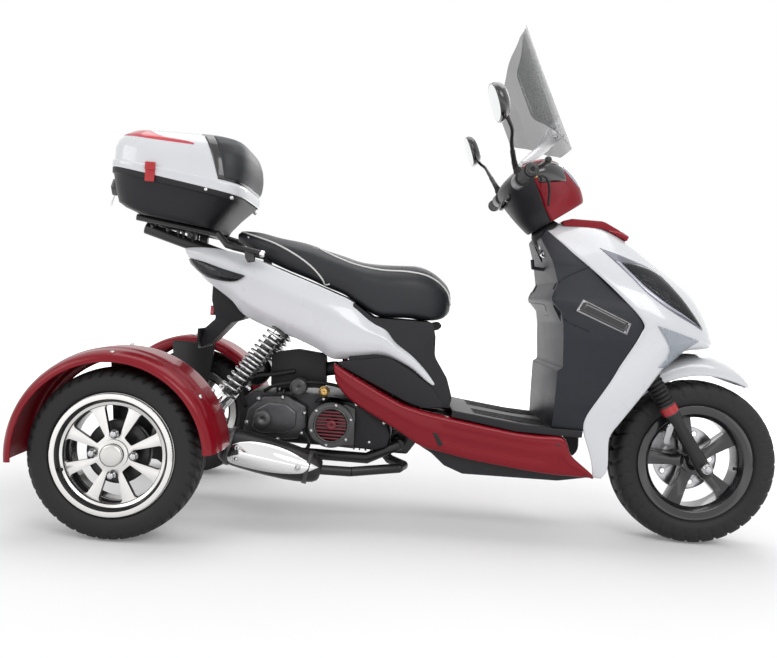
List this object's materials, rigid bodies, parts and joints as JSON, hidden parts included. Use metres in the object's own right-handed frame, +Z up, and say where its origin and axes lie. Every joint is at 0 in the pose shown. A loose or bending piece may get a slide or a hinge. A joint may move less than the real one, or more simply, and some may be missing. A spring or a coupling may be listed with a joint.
{
  "type": "motor trike",
  "caption": "Step-through motor trike with one steered front wheel, two rear wheels on an axle, a long seat, a screen and a hinged load box.",
  "frame": {"origin": "centre of the overall bounding box on the floor", "axes": "+X forward, +Y to the rider's left, +Z up; the floor is at Z = 0"},
  "size_m": [2.033, 0.968, 1.4402],
  "materials": {
    "tyre": "matte black tread",
    "machined_alloy": "bright machined faces, black windows",
    "black_alloy": "satin black",
    "steel": "brushed",
    "black_steel": "satin black paint",
    "engine_alloy": "dark cast finish",
    "black_plastic": "grained black",
    "white_paint": "gloss white",
    "red_paint": "gloss metallic red",
    "smoked_screen": "smoked clear",
    "clear_lens": "clear lens",
    "dark_lens": "dark lens",
    "black_vinyl": "black vinyl, white piping",
    "grip_rubber": "ribbed",
    "bright_shield": "polished",
    "spring_steel": "plated spring"
  },
  "bodies": {
    "chassis": {"air_box": "black_plastic", "belly_pan": "black_plastic", "box_base": "black_plastic", "center_cover": "black_plastic", "drive_case": "engine_alloy", "engine": "engine_alloy", "exhaust": "black_steel", "fan_cover": "black_plastic", "footboard": "black_plastic", "frame": "black_steel", "front_indicator_left": "clear_lens", "front_indicator_right": "clear_lens", "front_panel": "white_paint", "headlamp_left": "dark_lens", "headlamp_right": "dark_lens", "leg_shield": "black_plastic", "muffler_shield": "bright_shield", "nose_trim": "red_paint", "rear_axle": "black_steel", "rear_fender_left": "red_paint", "rear_fender_right": "red_paint", "rear_rack": "black_steel", "shock_left": "spring_steel", "shock_right": "spring_steel", "side_panel_left": "white_paint", "side_panel_right": "white_paint", "side_skirt_left": "red_paint", "side_skirt_right": "red_paint", "tail_bracket": "black_plastic", "tail_lamp": "dark_lens"},
    "steering": {"fork": "black_steel", "fork_leg_right": "black_steel", "fork_leg_left": "black_steel", "front_axle": "steel", "brake_caliper": "black_alloy", "front_fender": "white_paint", "handlebar": "black_steel", "grip_right": "grip_rubber", "grip_left": "grip_rubber", "handlebar_cover": "red_paint", "instrument_cover": "black_plastic", "mirror_right": "black_steel", "mirror_left": "black_steel", "windshield": "smoked_screen", "windshield_bracket": "black_steel"},
    "front_wheel": {"front_tyre": "tyre", "front_rim": "black_alloy", "brake_disc": "steel"},
    "rear_wheel_right": {"rear_tyre_right": "tyre", "rear_rim_right": "machined_alloy"},
    "rear_wheel_left": {"rear_tyre_left": "tyre", "rear_rim_left": "machined_alloy"},
    "seat": {"seat": "black_vinyl"},
    "box_lid": {"box_lid": "white_paint", "backrest": "black_vinyl"}
  },
  "joints": [
    {"name": "steer", "type": "hinge", "parent": "chassis", "child": "steering", "pos_m": [0.42827, 0, 0.68717], "axis": [-0.5736, 0, 0.8192], "range_deg": [-40, 40]},
    {"name": "front_wheel_spin", "type": "hinge", "parent": "steering", "child": "front_wheel", "pos_m": [0.7815, 0, 0.235], "axis": [0, 1, 0], "continuous": true},
    {"name": "rear_wheel_right_spin", "type": "hinge", "parent": "chassis", "child": "rear_wheel_right", "pos_m": [-0.7585, -0.39, 0.208], "axis": [0, 1, 0], "continuous": true},
    {"name": "rear_wheel_left_spin", "type": "hinge", "parent": "chassis", "child": "rear_wheel_left", "pos_m": [-0.7585, 0.39, 0.208], "axis": [0, 1, 0], "continuous": true},
    {"name": "seat_hinge", "type": "hinge", "parent": "chassis", "child": "seat", "pos_m": [0.0165, 0, 0.568], "axis": [0, 1, 0], "range_deg": [0, 60]},
    {"name": "box_lid_hinge", "type": "hinge", "parent": "chassis", "child": "box_lid", "pos_m": [-0.5445, 0, 0.872], "axis": [0, 1, 0], "range_deg": [0, 65]}
  ]
}
